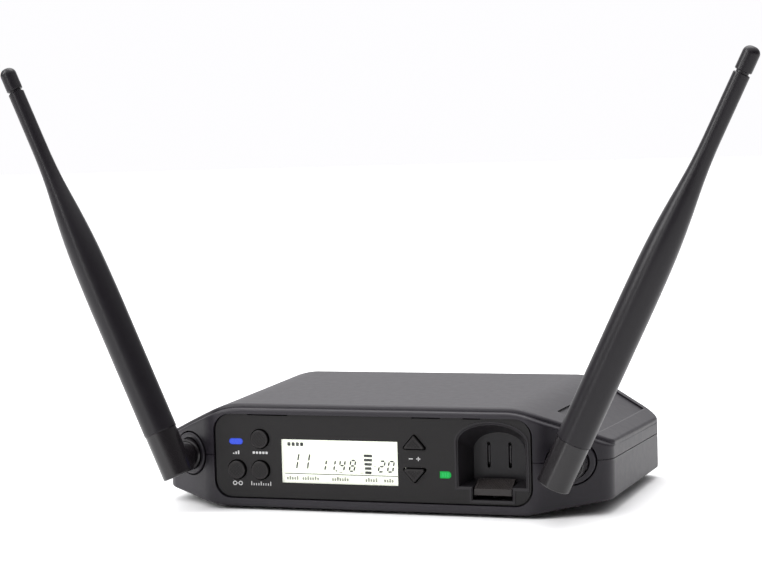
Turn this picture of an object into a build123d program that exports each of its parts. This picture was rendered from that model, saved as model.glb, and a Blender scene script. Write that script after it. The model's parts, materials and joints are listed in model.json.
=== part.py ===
from build123d import *
import math
import os

# Wireless receiver with two swinging antennas: a low plastic box with angled front corners,
# a control panel with a display and push buttons, and a battery charging bay.
# Millimetres. X to the right, Y to the back, Z up, origin at the centre of the flat underside.

os.makedirs("parts", exist_ok=True)

# ---- case ----
DEPTH = 103.0
FRONT, REAR = -DEPTH / 2, DEPTH / 2
FLAT_HALF = 63.5  # half width of the flat front
CORNER_X, CORNER_SETBACK = 88.0, 16.2  # where an angled front corner meets the side
CORNER_SLOPE = CORNER_SETBACK / (CORNER_X - FLAT_HALF)
CORNER_ANGLE = math.degrees(math.atan(CORNER_SLOPE))
UNDER_HALF = 59.0  # half width of the flat underside
SIDE_FRONT, SIDE_REAR = 87.5, 90.5  # half width at the sides
LOW_FRONT, LOW_REAR = 4.2, 2.8  # lower edge of the sides
HIGH_FRONT, HIGH_REAR = 25.9, 22.9  # upper edge of the sides
TOP_HALF_FRONT, TOP_HALF_REAR = 57.4, 63.9  # half width of the flat top
TOP_FRONT, TOP_REAR = 38.8, 39.6  # height of the flat top
STEP_DOWN, STEP_BACK = 1.5, 3.0  # ledge round the front of the top
FRONT_BLEND, CORNER_BLEND, REAR_BLEND = 14.0, 8.0, 8.0  # upright corners, seen from above
UNDER_BLEND, TOP_BLEND = 25.0, 28.0  # creases beside the flat underside and the flat top
UNDER_TRIM = 0.02  # shaved off the underside to leave it flat
LEDGE_BLEND, TOP_EDGE_BLEND = 1.1, 1.6
RECESS_LOW, RECESS_HIGH = 6.9, 24.0  # up the sloping face, from its outer edge
RECESS_STATIONS = [(-29.0, 0.05, 0.02), (-24.5, 2.6, 0.75), (40.0, 2.6, 0.75), (46.0, 0.05, 0.02)]
WALL = 2.0
SEAM_FRONT, SEAM_DROP = 19.35, 2.65  # the seam between the shells falls towards the back
SEAM_GAP, SEAM_DEEP = 0.36, 0.6

# ---- front panel ----
OPENING_HALF, OPENING_LOW, OPENING_HIGH = 62.2, 3.1, 35.3
PANEL_SIDE_GAP, PANEL_LOW_GAP, PANEL_TOP_GAP = 0.75, 0.55, 0.12
PANEL_NOTCHES = [(-48.3, -32.1), (16.6, 27.7), (36.1, 42.9)]  # along the panel's top edge
PANEL_BOSSES = [(-57.2, 31.0), (-57.2, 7.2), (24.6, 31.2), (24.6, 6.6)]
PANEL_FACE, PANEL_BACK = FRONT + 0.7, FRONT + 3.55
LCD_X, LCD_Z, LCD_W, LCD_H = -11.9, 17.7, 45.7, 16.4
BOARD_FACE = FRONT + 11.5
BUTTONS = {"group": (-43.4, 25.8), "link": (-52.9, 14.0), "channel": (-43.4, 14.0)}
BUTTON_R, BUTTON_GAP, KEY_FACE = 3.5, 0.4, FRONT - 0.5
KNURL_PITCH, KNURL_WIDTH, KNURL_DEEP = 0.9, 0.34, 0.14
PRESS_STEM_R, SWITCH_BORE_R = 1.3, 1.65
GAIN_X, GAIN_UP_Z, GAIN_DOWN_Z = 17.5, 26.0, 13.5
GAIN_HALF, GAIN_TALL = 4.6, 5.2
RF_LED, BATTERY_LED = (-53.2, 24.7), (29.2, 14.1)

# ---- charging bay ----
BAY_X, BAY_HALF = 46.8, 12.9
BAY_FLOOR, BAY_SPRING, BAY_RISE = 9.9, 26.5, 6.6
BAY_BACK_HALF, BAY_BACK_FLOOR, BAY_BACK_SPRING, BAY_BACK_RISE = 9.8, 11.0, 21.8, 6.8
BAY_RIM, BAY_MOUTH, BAY_DEPTH = 1.0, FRONT + 0.45, 11.6
BAY_BACK = BAY_MOUTH + BAY_DEPTH
NOTCH_HALF, NOTCH_FLOOR = 7.5, 5.1
LATCH_HALF, LATCH_LOW = 7.0, 6.9
LATCH_SPRING_Y = FRONT + 6.6
CONTACT_OFFSET = 4.05
SLOT_LOW, SLOT_HIGH, SLOT_WIDE = 15.3, 25.0, 1.25

# ---- antennas ----
PIVOT_X, PIVOT_Y, PIVOT_Z = 74.7, FRONT - 9.9, 18.7
LEAN = {"left": -23.3, "right": 25.5}  # degrees from upright, at rest
BARREL_R, BARREL_BELOW, BARREL_ABOVE = 6.2, 6.3, 11.5
SLEEVE_R, SLEEVE_END, TIP_END = 6.4, 152.4, 162.3
STUB_R, DRUM_R, SHAFT_R = 5.2, 5.9, 3.6
COLLAR_R, COLLAR_BORE, COLLAR_HOLE = 8.0, 6.3, 8.6
WEB_FACE, WEB_BACK = FRONT + 16.6, FRONT + 19.2
CLIP_Y = WEB_BACK + 1.6
SHAFT_END = FRONT + 25.2
RUNNING = 0.06  # radial clearance of a running fit

# ---- boards, connectors and fixings ----
BOARD_Z, BOARD_T = 6.0, 1.6
DECK = BOARD_Z + BOARD_T + 0.02
MAIN_HALF, MAIN_FRONT, MAIN_REAR = 64.0, FRONT + 22.0, REAR - 3.6
BOARD_POSTS = [(-57, FRONT + 27), (57, FRONT + 27), (-57, REAR - 32), (57, REAR - 32)]
CASE_POSTS = [(-74, FRONT + 40), (74, FRONT + 40), (-78, REAR - 11), (78, REAR - 11)]
FEET = [(-50, FRONT + 13), (50, FRONT + 13), (-50, REAR - 13), (50, REAR - 13)]
FOOT_R, FOOT_OUT, FOOT_IN = 6.0, 1.2, 0.7
XLR_X, XLR_Z, XLR_BORE, XLR_PIN_R, XLR_PITCH_R = 28.0, 20.4, 9.5, 1.2, 5.6
JACK_X, JACK_Z, JACK_BORE = 53.0, 16.2, 3.2
COAX_X = 55.6  # where the antenna leads meet the board
LEVEL_X, LEVEL_Z, LEVEL_R = 2.0, 14.4, 3.6
USB_X, DC_X, DC_Z = -24.0, -46.0, 13.4
ON_END = (Align.CENTER, Align.CENTER, Align.MIN)


def rod_y(x, z, r, y0, y1):
    return Pos(x, y0, z) * Rot(-90, 0, 0) * Cylinder(r, y1 - y0, align=ON_END)


def rod_z(x, y, r, z0, z1):
    return Pos(x, y, z0) * Cylinder(r, z1 - z0, align=ON_END)


def block(x0, x1, y0, y1, z0, z1):
    return Pos(x0, y0, z0) * Box(x1 - x0, y1 - y0, z1 - z0, align=(Align.MIN, Align.MIN, Align.MIN))


def slab_y(sketch, y0, y1):
    """A sketch drawn in X and Z, standing from y0 to y1."""
    return extrude(Plane(origin=(0, y1, 0), x_dir=(1, 0, 0), z_dir=(0, -1, 0)) * sketch, y1 - y0)


def slab_x(points, x0, x1):
    """A polygon drawn in Y and Z, reaching from x0 to x1."""
    across = Plane(origin=(x0, 0, 0), x_dir=(0, 1, 0), z_dir=(1, 0, 0))
    return extrude(across * Polygon(*points, align=None), x1 - x0)


def inset(points, amount):
    """A convex anticlockwise polygon with every side moved inwards."""
    lines = []
    for (ax, ay), (bx, by) in zip(points, points[1:] + points[:1]):
        length = math.hypot(bx - ax, by - ay)
        nx, ny = -(by - ay) / length, (bx - ax) / length
        lines.append((nx, ny, nx * ax + ny * ay + amount))
    moved = []
    for (a, b, c), (d, e, f) in zip(lines[-1:] + lines[:-1], lines):
        det = a * e - b * d
        moved.append(((c * e - b * f) / det, (a * f - c * d) / det))
    return moved


def both_sides(right):
    return right + [(-x, z) for x, z in reversed(right)]


def unit(dx, dy):
    length = math.hypot(dx, dy)
    return dx / length, dy / length


def corner_arc(before, corner, after, radius):
    """Start, middle and end of the arc that rounds one corner of a flat outline."""
    (x, y), (ax, ay) = corner, unit(before[0] - corner[0], before[1] - corner[1])
    bx, by = unit(after[0] - x, after[1] - y)
    half = math.acos(ax * bx + ay * by) / 2
    reach, rise = radius / math.tan(half), radius / math.sin(half) - radius
    mx, my = unit(ax + bx, ay + by)
    return (x + ax * reach, y + ay * reach), (x + mx * rise, y + my * rise), (x + bx * reach, y + by * reach)


def rounded_loop(points, radii, place):
    """Closed wire of lines and corner arcs; place turns a flat point into one in space."""
    count, edges, arcs = len(points), [], []
    for i, radius in enumerate(radii):
        if radius:
            arcs.append(corner_arc(points[i - 1], points[i], points[(i + 1) % count], radius))
        else:
            arcs.append((points[i], None, points[i]))
    for i, (start, middle, end) in enumerate(arcs):
        if middle:
            edges.append(ThreePointArc(place(*start), place(*middle), place(*end)).edge())
        edges.append(Line(place(*end), place(*arcs[(i + 1) % count][0])).edge())
    return Wire(edges)


# ---------------------------------------------------------------- case


def along(y, front, rear):
    """A size that changes evenly from the front plane to the back."""
    return front + (y - FRONT) / DEPTH * (rear - front)


def slope_ends(y):
    """Outer and inner end of the right sloping face at one depth, as (x, z)."""
    outer = along(y, SIDE_FRONT, SIDE_REAR), along(y, HIGH_FRONT, HIGH_REAR)
    return outer, (along(y, TOP_HALF_FRONT, TOP_HALF_REAR), along(y, TOP_FRONT, TOP_REAR))


def skin_section(y, drop, wall, past=9.0):
    """The case cut across, with its sloping faces carried on past the sides."""
    (side, high), (top_half, top) = slope_ends(y)
    low, out = along(y, LOW_FRONT, LOW_REAR), side + past
    rise, fall = low / (side - UNDER_HALF), (top - high) / (side - top_half)
    shoulder = high - past * fall - drop
    right = [(UNDER_HALF, -UNDER_TRIM), (out, low + past * rise), (out, shoulder), (top_half, top - drop)]
    radii = [UNDER_BLEND - wall, 0, 0, TOP_BLEND - wall]
    return rounded_loop(inset(both_sides(right), wall), radii + radii[::-1], lambda x, z: (x, y, z))


def plan(amount, rear=0.0):
    """The case seen from above: front and angled corners moved in by amount, sides and back by rear."""
    out = amount - rear
    corner = CORNER_X + out, FRONT + (CORNER_X + out - FLAT_HALF) * CORNER_SLOPE
    right = [(FLAT_HALF, FRONT), corner, (SIDE_REAR + out, REAR + out)]
    radii = [FRONT_BLEND - amount, max(CORNER_BLEND - amount, 2.0), REAR_BLEND - rear]
    loop = rounded_loop(inset(both_sides(right), amount), radii + radii[::-1], lambda x, y: (x, y, -10))
    return extrude(make_face(loop), 70, dir=(0, 0, 1))


def skin(wall, drop, back):
    """The case as a solid, with the walls, the top and the front corners moved in."""
    ends = [skin_section(y, drop, wall) for y in (FRONT - 6, REAR + 6)]
    return Solid.make_loft(ends, ruled=True) & plan(back, rear=wall)


def slope_recess():
    """Cutter for the shallow bevelled recess in the right sloping face."""
    sections = []
    for y, bevel, deep in RECESS_STATIONS:
        (x0, z0), (x1, z1) = slope_ends(y)
        dx, dz = unit(x1 - x0, z1 - z0)
        profile = [
            (RECESS_LOW - 1.5, -1.5), (RECESS_LOW, 0), (RECESS_LOW + bevel, deep),
            (RECESS_HIGH - bevel, deep), (RECESS_HIGH, 0), (RECESS_HIGH + 1.5, -1.5),
        ]
        outline = [(x0 + dx * up - dz * down, y, z0 + dz * up - dx * down) for up, down in profile]
        sections.append(Wire.make_polygon(outline, close=True))
    return Solid.make_loft(sections, ruled=True)


def outline_edge(edge, z0, z1):
    """Whether an edge of the case runs round its outline rather than across it or up a corner."""
    box = edge.bounding_box()
    upright = abs(edge.tangent_at(0.5).Z) > 0.9
    across = box.max.Y - box.min.Y > DEPTH - 6 and abs(edge.center().X) < 75
    return z0 < edge.center().Z < z1 and not upright and not across


def rounded_skin():
    """The outer shape: a lower shell with a ledge, and the raised top inside the ledge."""
    low = skin(0, STEP_DOWN, 0)
    low = fillet(low.edges().filter_by(lambda e: outline_edge(e, -10, 60)), LEDGE_BLEND)
    cap = skin(0, 0, STEP_BACK) & block(-100, 100, FRONT, REAR + 1, 12, 50)
    cap = fillet(cap.edges().filter_by(lambda e: outline_edge(e, 20, 60)), TOP_EDGE_BLEND)
    recess = slope_recess()
    shape = low + cap - recess - mirror(recess, about=Plane.YZ)
    return shape - block(-100, 100, FRONT - 10, REAR + 10, -5, 0)


def cavity():
    return skin(WALL, STEP_DOWN, WALL) + skin(WALL, 0, STEP_BACK + WALL)


def seam_z(y):
    return SEAM_FRONT - SEAM_DROP * (y - FRONT) / DEPTH


def below_seam(shift=0.0):
    y0, y1 = FRONT - 20, REAR + 20
    points = [(y0, -20), (y1, -20), (y1, seam_z(y1) + shift), (y0, seam_z(y0) + shift)]
    return slab_x(points, -120, 120)


def collar_hole(side):
    x = side * PIVOT_X
    return rod_y(x, PIVOT_Z, COLLAR_HOLE, FRONT - 5, FRONT + 17)


def panel_opening():
    w, h = 2 * OPENING_HALF, OPENING_HIGH - OPENING_LOW
    shape = Pos(0, (OPENING_LOW + OPENING_HIGH) / 2) * RectangleRounded(w, h, 6.8)
    return slab_y(shape, FRONT - 2, FRONT + WALL + 0.55)


def rear_holes():
    y0, y1 = REAR - WALL - 0.2, REAR + 2
    holes = rod_y(XLR_X, XLR_Z, 11.6, y0, y1) + rod_y(JACK_X, JACK_Z, 5.6, y0, y1)
    holes += rod_y(LEVEL_X, LEVEL_Z, LEVEL_R + 0.5, y0, y1)
    holes += block(USB_X - 4.2, USB_X + 4.2, y0, y1, DECK - 0.3, DECK + 3.1)
    holes += rod_y(DC_X, DC_Z, 4.1, y0, y1)
    for dx, dz in ((-9.7, 9.7), (9.7, -9.7)):
        holes += rod_y(XLR_X + dx, XLR_Z + dz, 1.2, y0, y1)
    return holes


def shells():
    """Bottom case and top cover, meeting at the seam."""
    shell = rounded_skin() - cavity() - panel_opening() - rear_holes()
    shell = shell - collar_hole(1) - collar_hole(-1)
    groove = (skin(-1, 0, -1) - skin(SEAM_DEEP, STEP_DOWN, SEAM_DEEP)) & (
        below_seam(SEAM_GAP / 2) - below_seam(-SEAM_GAP / 2)
    )
    shell = shell - groove
    return shell & below_seam(), shell - below_seam()


def bottom_case(shell):
    for x, y in BOARD_POSTS:
        shell += rod_z(x, y, 3.2, WALL - 0.3, BOARD_Z - 0.01)
    room = cavity()
    for x, y in CASE_POSTS:
        shell += rod_z(x, y, 3.8, 0, seam_z(y) - 0.4) & room
    for x, y in BOARD_POSTS:
        shell -= rod_z(x, y, 1.3, WALL + 0.2, BOARD_Z + 1)
    for x, y in CASE_POSTS:
        shell -= rod_z(x, y, 2.9, -1, 5.2) + rod_z(x, y, 1.55, 4, 30)
    for x, y in FEET:
        shell -= rod_z(x, y, FOOT_R + 0.15, -1, FOOT_IN)
    return shell


def top_cover(shell):
    room = cavity()
    for x, y in CASE_POSTS:
        shell += (rod_z(x, y, 3.8, seam_z(y) + 0.05, 40) & room) - rod_z(x, y, 1.35, 0, 27.5)
    return shell


def rubber_feet():
    foot = Cylinder(FOOT_R, FOOT_OUT + FOOT_IN - 0.02, align=ON_END)
    foot = fillet(foot.edges().sort_by(Axis.Z)[0], 0.5)
    return Compound([Pos(x, y, -FOOT_OUT) * foot for x, y in FEET])


def pan_screw(head_r, head_h, shank_r, length):
    """A pan-head screw standing on its tip side up: the shank points up, the head is below."""
    head = Cylinder(head_r, head_h, align=(Align.CENTER, Align.CENTER, Align.MAX))
    head = fillet(head.edges().sort_by(Axis.Z)[0], head_h * 0.45)
    cross = Box(head_r * 1.1, head_r * 0.28, head_h * 0.6, align=ON_END)
    cross += Rot(0, 0, 90) * cross
    return head - Pos(0, 0, -head_h) * cross + Cylinder(
        shank_r, length, align=ON_END
    )


def case_screws():
    screw = pan_screw(2.6, 1.8, 1.3, 20.5)
    return Compound([Pos(x, y, 5.18) * screw for x, y in CASE_POSTS])


# ---------------------------------------------------------------- front panel


def panel_outline():
    low, high = OPENING_LOW + PANEL_LOW_GAP, OPENING_HIGH - PANEL_TOP_GAP
    shape = Pos(0, (low + high) / 2) * RectangleRounded(2 * (OPENING_HALF - PANEL_SIDE_GAP), high - low, 6.4)
    for left, right in PANEL_NOTCHES:
        shape -= Pos((left + right) / 2, high) * Rectangle(right - left, 0.9)
    return shape


def triangle(up, grow=0.0):
    """Rounded triangular key, pointing up or down."""
    half, tall = GAIN_HALF, GAIN_TALL / 2
    corners = inset([(-half, -tall), (half, -tall), (0, tall)], -grow)
    shape = fillet(Polygon(*corners, align=None).vertices(), max(0.6 + grow * 0.5, 0.25))
    z = GAIN_UP_Z if up else GAIN_DOWN_Z
    return Pos(GAIN_X, z) * (shape if up else Rot(0, 0, 180) * shape)


def bay_outline(half, floor, spring, rise):
    """Straight sides and floor under a flat elliptical arch."""
    left, right = BAY_X - half, BAY_X + half
    arch = EllipticalCenterArc((BAY_X, spring), half, rise, 0, arc_size=180)
    sides = Polyline((left, spring), (left, floor), (right, floor), (right, spring))
    return make_face(Wire([arch, *sides.edges()]))


def rim_outline(grow=0.0):
    g = BAY_RIM + grow
    shape = bay_outline(BAY_HALF + g, BAY_FLOOR - g, BAY_SPRING, BAY_RISE + g)
    low, high = NOTCH_FLOOR - g, BAY_FLOOR
    return shape + Pos(BAY_X, (low + high) / 2) * Rectangle(2 * (NOTCH_HALF + g), high - low)


def front_panel():
    middle = (OPENING_LOW + OPENING_HIGH) / 2
    plate_back = FRONT + WALL + 0.5
    flange = Pos(0, middle - 0.5) * RectangleRounded(124.6, 32.7, 7.6)
    behind = slab_y(panel_outline(), plate_back, PANEL_BACK) + slab_y(flange, plate_back + 0.1, PANEL_BACK)
    panel = slab_y(panel_outline(), PANEL_FACE, plate_back) + (behind & skin(WALL + 0.08, STEP_DOWN, 0))
    for x, z in PANEL_BOSSES:
        panel += rod_y(x, z, 2.1, PANEL_BACK - 0.2, BOARD_FACE - 0.02)
        panel -= rod_y(x, z, 0.95, PANEL_BACK + 1, BOARD_FACE + 1)
    y0, y1 = FRONT - 1, PANEL_BACK + 1
    panel -= slab_y(Pos(LCD_X, LCD_Z) * Rectangle(LCD_W, LCD_H), y0, y1)
    panel -= slab_y(Pos(LCD_X, LCD_Z) * Rectangle(LCD_W + 3.6, LCD_H + 3.6), PANEL_FACE + 1.1, y1)
    for x, z in BUTTONS.values():
        panel -= rod_y(x, z, BUTTON_R + BUTTON_GAP, y0, y1)
    panel -= slab_y(triangle(True, BUTTON_GAP) + triangle(False, BUTTON_GAP), y0, y1)
    panel -= slab_y(Pos(*RF_LED) * SlotOverall(5.6, 2.4), y0, y1)
    panel -= slab_y(battery_mark(4.4, 2.7), y0, y1)
    return panel - slab_y(rim_outline(0.04), y0, y1)


def panel_screws():
    screw = Rot(90, 0, 0) * pan_screw(1.8, 1.1, 0.9, 5.5)
    return Compound([Pos(x, BOARD_FACE + BOARD_T + 0.02, z) * screw for x, z in PANEL_BOSSES])


def lcd_window():
    shape = Pos(LCD_X, LCD_Z) * Rectangle(LCD_W - 0.06, LCD_H - 0.06)
    return slab_y(shape, PANEL_FACE + 0.08, PANEL_FACE + 1.06)


def lcd_module():
    shape = Pos(LCD_X, LCD_Z) * Rectangle(LCD_W + 3.4, LCD_H + 3.4)
    return slab_y(shape, PANEL_FACE + 1.14, PANEL_FACE + 3.4)


def lcd_frame():
    """Backlight tray that carries the display on the control board."""
    outer = Pos(LCD_X, LCD_Z) * Rectangle(LCD_W + 4.4, LCD_H + 4.4)
    inner = Pos(LCD_X, LCD_Z) * Rectangle(LCD_W, LCD_H)
    y0, y1 = PANEL_FACE + 3.44, BOARD_FACE - 0.02
    return slab_y(outer, y0, y1) - slab_y(inner, y0 + 2.2, y1 + 1)


def indicator_lens(shape):
    body = slab_y(shape, PANEL_FACE + 0.04, BOARD_FACE - 1.3)
    return chamfer(body.faces().sort_by(Axis.Y)[0].edges(), 0.15)


def rf_lens():
    return indicator_lens(Pos(*RF_LED) * SlotOverall(5.54, 2.34))


def battery_mark(width, height):
    """Outline of the battery indicator: square at its left end, round at its right."""
    corners = Rectangle(width, height).vertices().sort_by(Axis.X)
    shape = fillet(corners[:2], 0.35)
    return Pos(*BATTERY_LED) * fillet(shape.vertices().sort_by(Axis.X)[-2:], height / 2 - 0.1)


def battery_lens():
    return indicator_lens(battery_mark(4.34, 2.64))


def indicator_leds():
    y0, y1 = BOARD_FACE - 1.2, BOARD_FACE - 0.02
    return Compound([block(x - 1, x + 1, y0, y1, z - 0.6, z + 0.6) for x, z in (RF_LED, BATTERY_LED)])


def press_button(cap, x, z):
    """A cap that stands out of the panel, its stop flange behind it and its stem."""
    stop = rod_y(x, z, 3.1, PANEL_BACK + 0.35, PANEL_BACK + 1.15)
    return cap + stop + rod_y(x, z, PRESS_STEM_R, PANEL_BACK, BOARD_FACE - 2.3)


def knurl(field, x, z):
    """Cutters for a diamond knurl inside a flat outline, one for each direction."""
    cutters, reach = [], 4.5
    for angle in (45, -45):
        ribs = []
        count = int(reach / KNURL_PITCH)
        for i in range(-count, count + 1):
            rib = Box(KNURL_WIDTH, 2 * KNURL_DEEP, 2 * reach)
            ribs.append(Pos(x, KEY_FACE, z) * Rot(0, angle, 0) * Pos(i * KNURL_PITCH, 0, 0) * rib)
        cutters.append(Compound(ribs) & slab_y(field, KEY_FACE - 1, KEY_FACE + 1))
    return cutters


def round_button(name):
    x, z = BUTTONS[name]
    cap = rod_y(x, z, BUTTON_R, KEY_FACE, PANEL_BACK + 1.15)
    cap = fillet(cap.edges().sort_by(Axis.Y)[0], 0.4)
    for cutter in knurl(Pos(x, z) * Circle(BUTTON_R - 0.75), x, z):
        cap -= cutter
    flange = rod_y(x, z, BUTTON_R + 0.85, PANEL_BACK + 0.35, PANEL_BACK + 1.15)
    return press_button(cap + flange, x, z)


def gain_button(up):
    cap = slab_y(triangle(up), KEY_FACE, PANEL_BACK + 1.15)
    cap = chamfer(cap.faces().sort_by(Axis.Y)[0].edges(), 0.3)
    for cutter in knurl(triangle(up, -0.75), GAIN_X, gain_stem_z(up)):
        cap -= cutter
    return press_button(cap, GAIN_X, gain_stem_z(up))


def gain_stem_z(up):
    return GAIN_UP_Z - 0.9 if up else GAIN_DOWN_Z + 0.9


def switch_places():
    return list(BUTTONS.values()) + [(GAIN_X, gain_stem_z(True)), (GAIN_X, gain_stem_z(False))]


def button_switches():
    """Push switches on the control board, open in front for the stems."""
    cases = []
    for x, z in switch_places():
        case = block(x - 3, x + 3, BOARD_FACE - 3.3, BOARD_FACE - 0.02, z - 3, z + 3)
        cases.append(case - rod_y(x, z, SWITCH_BORE_R, BOARD_FACE - 4, BOARD_FACE - 0.7))
    return Compound(cases)


def control_board():
    board = block(-60.4, 31.0, BOARD_FACE, BOARD_FACE + BOARD_T, 3.6, 34.0)
    board = fillet(board.edges().filter_by(Axis.Y), 2.0)
    for x, z in PANEL_BOSSES:
        board -= rod_y(x, z, 1.05, BOARD_FACE - 1, BOARD_FACE + 3)
    return board


# ---------------------------------------------------------------- charging bay


def bay_section(y, grow=0.0):
    """Outline of the tapering well at one depth."""
    t = (y - BAY_MOUTH) / BAY_DEPTH
    half = BAY_HALF + t * (BAY_BACK_HALF - BAY_HALF) + grow
    floor = BAY_FLOOR + t * (BAY_BACK_FLOOR - BAY_FLOOR) - grow
    spring = BAY_SPRING + t * (BAY_BACK_SPRING - BAY_SPRING)
    rise = BAY_RISE + t * (BAY_BACK_RISE - BAY_RISE) + grow
    return Pos(0, y, 0) * Rot(90, 0, 0) * bay_outline(half, floor, spring, rise).wire()


def bay_loft(grow, y0, y1):
    return Solid.make_loft([bay_section(y0, grow), bay_section(y1, grow)], ruled=True)


def charging_bay():
    behind = PANEL_BACK + 0.05
    tub = slab_y(rim_outline(), BAY_MOUTH, behind + 0.4)
    tub += bay_loft(1.3, behind, BAY_BACK + 1.4)
    tub += block(BAY_X - NOTCH_HALF - 1.3, BAY_X + NOTCH_HALF + 1.3, behind, FRONT + 11.4, 2.5, 12.0)
    tub -= bay_loft(0, BAY_MOUTH - 0.01, BAY_BACK)
    tub -= block(BAY_X - NOTCH_HALF, BAY_X + NOTCH_HALF, BAY_MOUTH - 1, FRONT + 9.6, NOTCH_FLOOR, 12.5)
    tub -= rod_z(BAY_X, LATCH_SPRING_Y, 2.6, 3.6, NOTCH_FLOOR + 1)
    for dx in (-CONTACT_OFFSET, CONTACT_OFFSET):
        slot = Rot(0, 0, 90) * SlotOverall(SLOT_HIGH - SLOT_LOW, SLOT_WIDE)
        slot = Pos(BAY_X + dx, (SLOT_LOW + SLOT_HIGH) / 2) * slot
        tub -= slab_y(slot, BAY_BACK - 1, BAY_BACK + 3)
    return tub - mouth_bevel()


def mouth_bevel(size=0.5):
    """Cutter that bevels the inner edge of the rim."""
    wide = bay_outline(BAY_HALF + size, BAY_FLOOR - size, BAY_SPRING, BAY_RISE + size)
    plain = bay_outline(BAY_HALF, BAY_FLOOR, BAY_SPRING, BAY_RISE)
    low, high, mouth = NOTCH_FLOOR, BAY_FLOOR + 1, BAY_MOUTH
    ends = [Pos(0, y, 0) * Rot(90, 0, 0) * f.wire() for y, f in ((mouth - 0.01, wide), (mouth + size, plain))]
    notch = []
    for y, g in ((mouth - 0.01, size), (mouth + size, 0)):
        left, right = BAY_X - NOTCH_HALF - g, BAY_X + NOTCH_HALF + g
        corners = [(left, y, low - g), (right, y, low - g), (right, y, high), (left, y, high)]
        notch.append(Wire.make_polygon(corners, close=True))
    return Solid.make_loft(ends, ruled=True) + Solid.make_loft(notch, ruled=True)


def bay_latch():
    """Thumb latch with a ribbed sloping top, pressed down to free a battery."""
    y0, y1, y2 = FRONT + 1.5, FRONT + 7.6, FRONT + 9.2
    profile = [(y0, LATCH_LOW), (y2, LATCH_LOW), (y2, 11.9), (y1, 11.9), (y0, 9.2)]
    body = slab_x(profile, BAY_X - LATCH_HALF, BAY_X + LATCH_HALF)
    tilt = math.degrees(math.atan2(11.9 - 9.2, y1 - y0))
    slope = math.hypot(y1 - y0, 11.9 - 9.2)
    rib_field = Box(2 * LATCH_HALF - 1.6, slope - 0.7, 0.6)
    grooves = []
    for i in range(-12, 13):
        grooves.append(Pos(i * 0.95, 0, 0) * Rot(0, 0, 38) * Box(0.4, 12, 0.5))
    cut = Compound(grooves) & rib_field
    cut = Pos(BAY_X, (y0 + y1) / 2, (9.2 + 11.9) / 2) * Rot(tilt, 0, 0) * cut
    return body - cut - rod_z(BAY_X, LATCH_SPRING_Y, 2.3, LATCH_LOW - 1, 10.2)


def latch_spring():
    helix = Helix(pitch=1.1, height=6.0, radius=1.55)
    wire = Plane(origin=helix @ 0, z_dir=helix % 0) * Circle(0.22)
    coil = sweep(wire, path=helix, is_frenet=True)
    return Pos(BAY_X, LATCH_SPRING_Y, 3.85) * coil


def bay_contacts():
    """Spring blades that show in the slots of the back wall and stand on the contact board."""
    back, blades = BAY_BACK, []
    for dx in (-CONTACT_OFFSET, CONTACT_OFFSET):
        x = BAY_X + dx
        profile = [(back + 0.5, 17.2), (back + 2.9, 15.9), (back + 2.9, 24.4), (back + 0.5, 23.6)]
        blades.append(slab_x(profile, x - 0.2, x + 0.2))
    return Compound(blades)


def contact_board():
    y = BAY_BACK + 2.95
    board = block(BAY_X - 11, BAY_X + 11, y, y + 1.2, 12.0, 27.5)
    return fillet(board.edges().filter_by(Axis.Y), 1.0)


# ---------------------------------------------------------------- antennas


def leaning(name, shape):
    """A shape built upright on the Z axis, leaned over at the antenna's pivot."""
    side = -1 if name == "left" else 1
    return Pos(side * PIVOT_X, PIVOT_Y, PIVOT_Z) * Rot(0, LEAN[name], 0) * shape


def socket_collar(name):
    """Fixed bush in the angled face: it holds the antenna's shaft and is held between the shells."""
    side = -1 if name == "left" else 1
    x = side * PIVOT_X
    tube = rod_y(x, PIVOT_Z, COLLAR_R, FRONT - 5, WEB_BACK)
    flange = rod_y(x, PIVOT_Z, COLLAR_R + 1.9, FRONT - 5, WEB_BACK) & skin(WALL + 0.15, STEP_DOWN, 0)
    proud, inner = 1.1, WALL / math.cos(math.radians(CORNER_ANGLE)) + 0.08
    tube &= behind_corner(side, -proud)
    tube = fillet(tube.edges().filter_by(GeomType.ELLIPSE), 0.7)
    flange = (flange & behind_corner(side, inner)) - behind_corner(side, inner + 1.5)
    collar = tube + flange - rod_y(x, PIVOT_Z, COLLAR_BORE, FRONT - 6, WEB_FACE)
    return collar - rod_y(x, PIVOT_Z, SHAFT_R + RUNNING, FRONT, REAR)


def behind_corner(side, depth):
    """All that lies more than depth, along Y, behind an angled front face."""
    y = FRONT + depth
    near, far = (20, y - (FLAT_HALF - 20) * CORNER_SLOPE), (130, y + (130 - FLAT_HALF) * CORNER_SLOPE)
    right = [near, far, (130, 60), (20, 60)]
    solid = Pos(0, 0, -10) * extrude(Polygon(*right, align=None), 60)
    return solid if side > 0 else mirror(solid, about=Plane.YZ)


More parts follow.
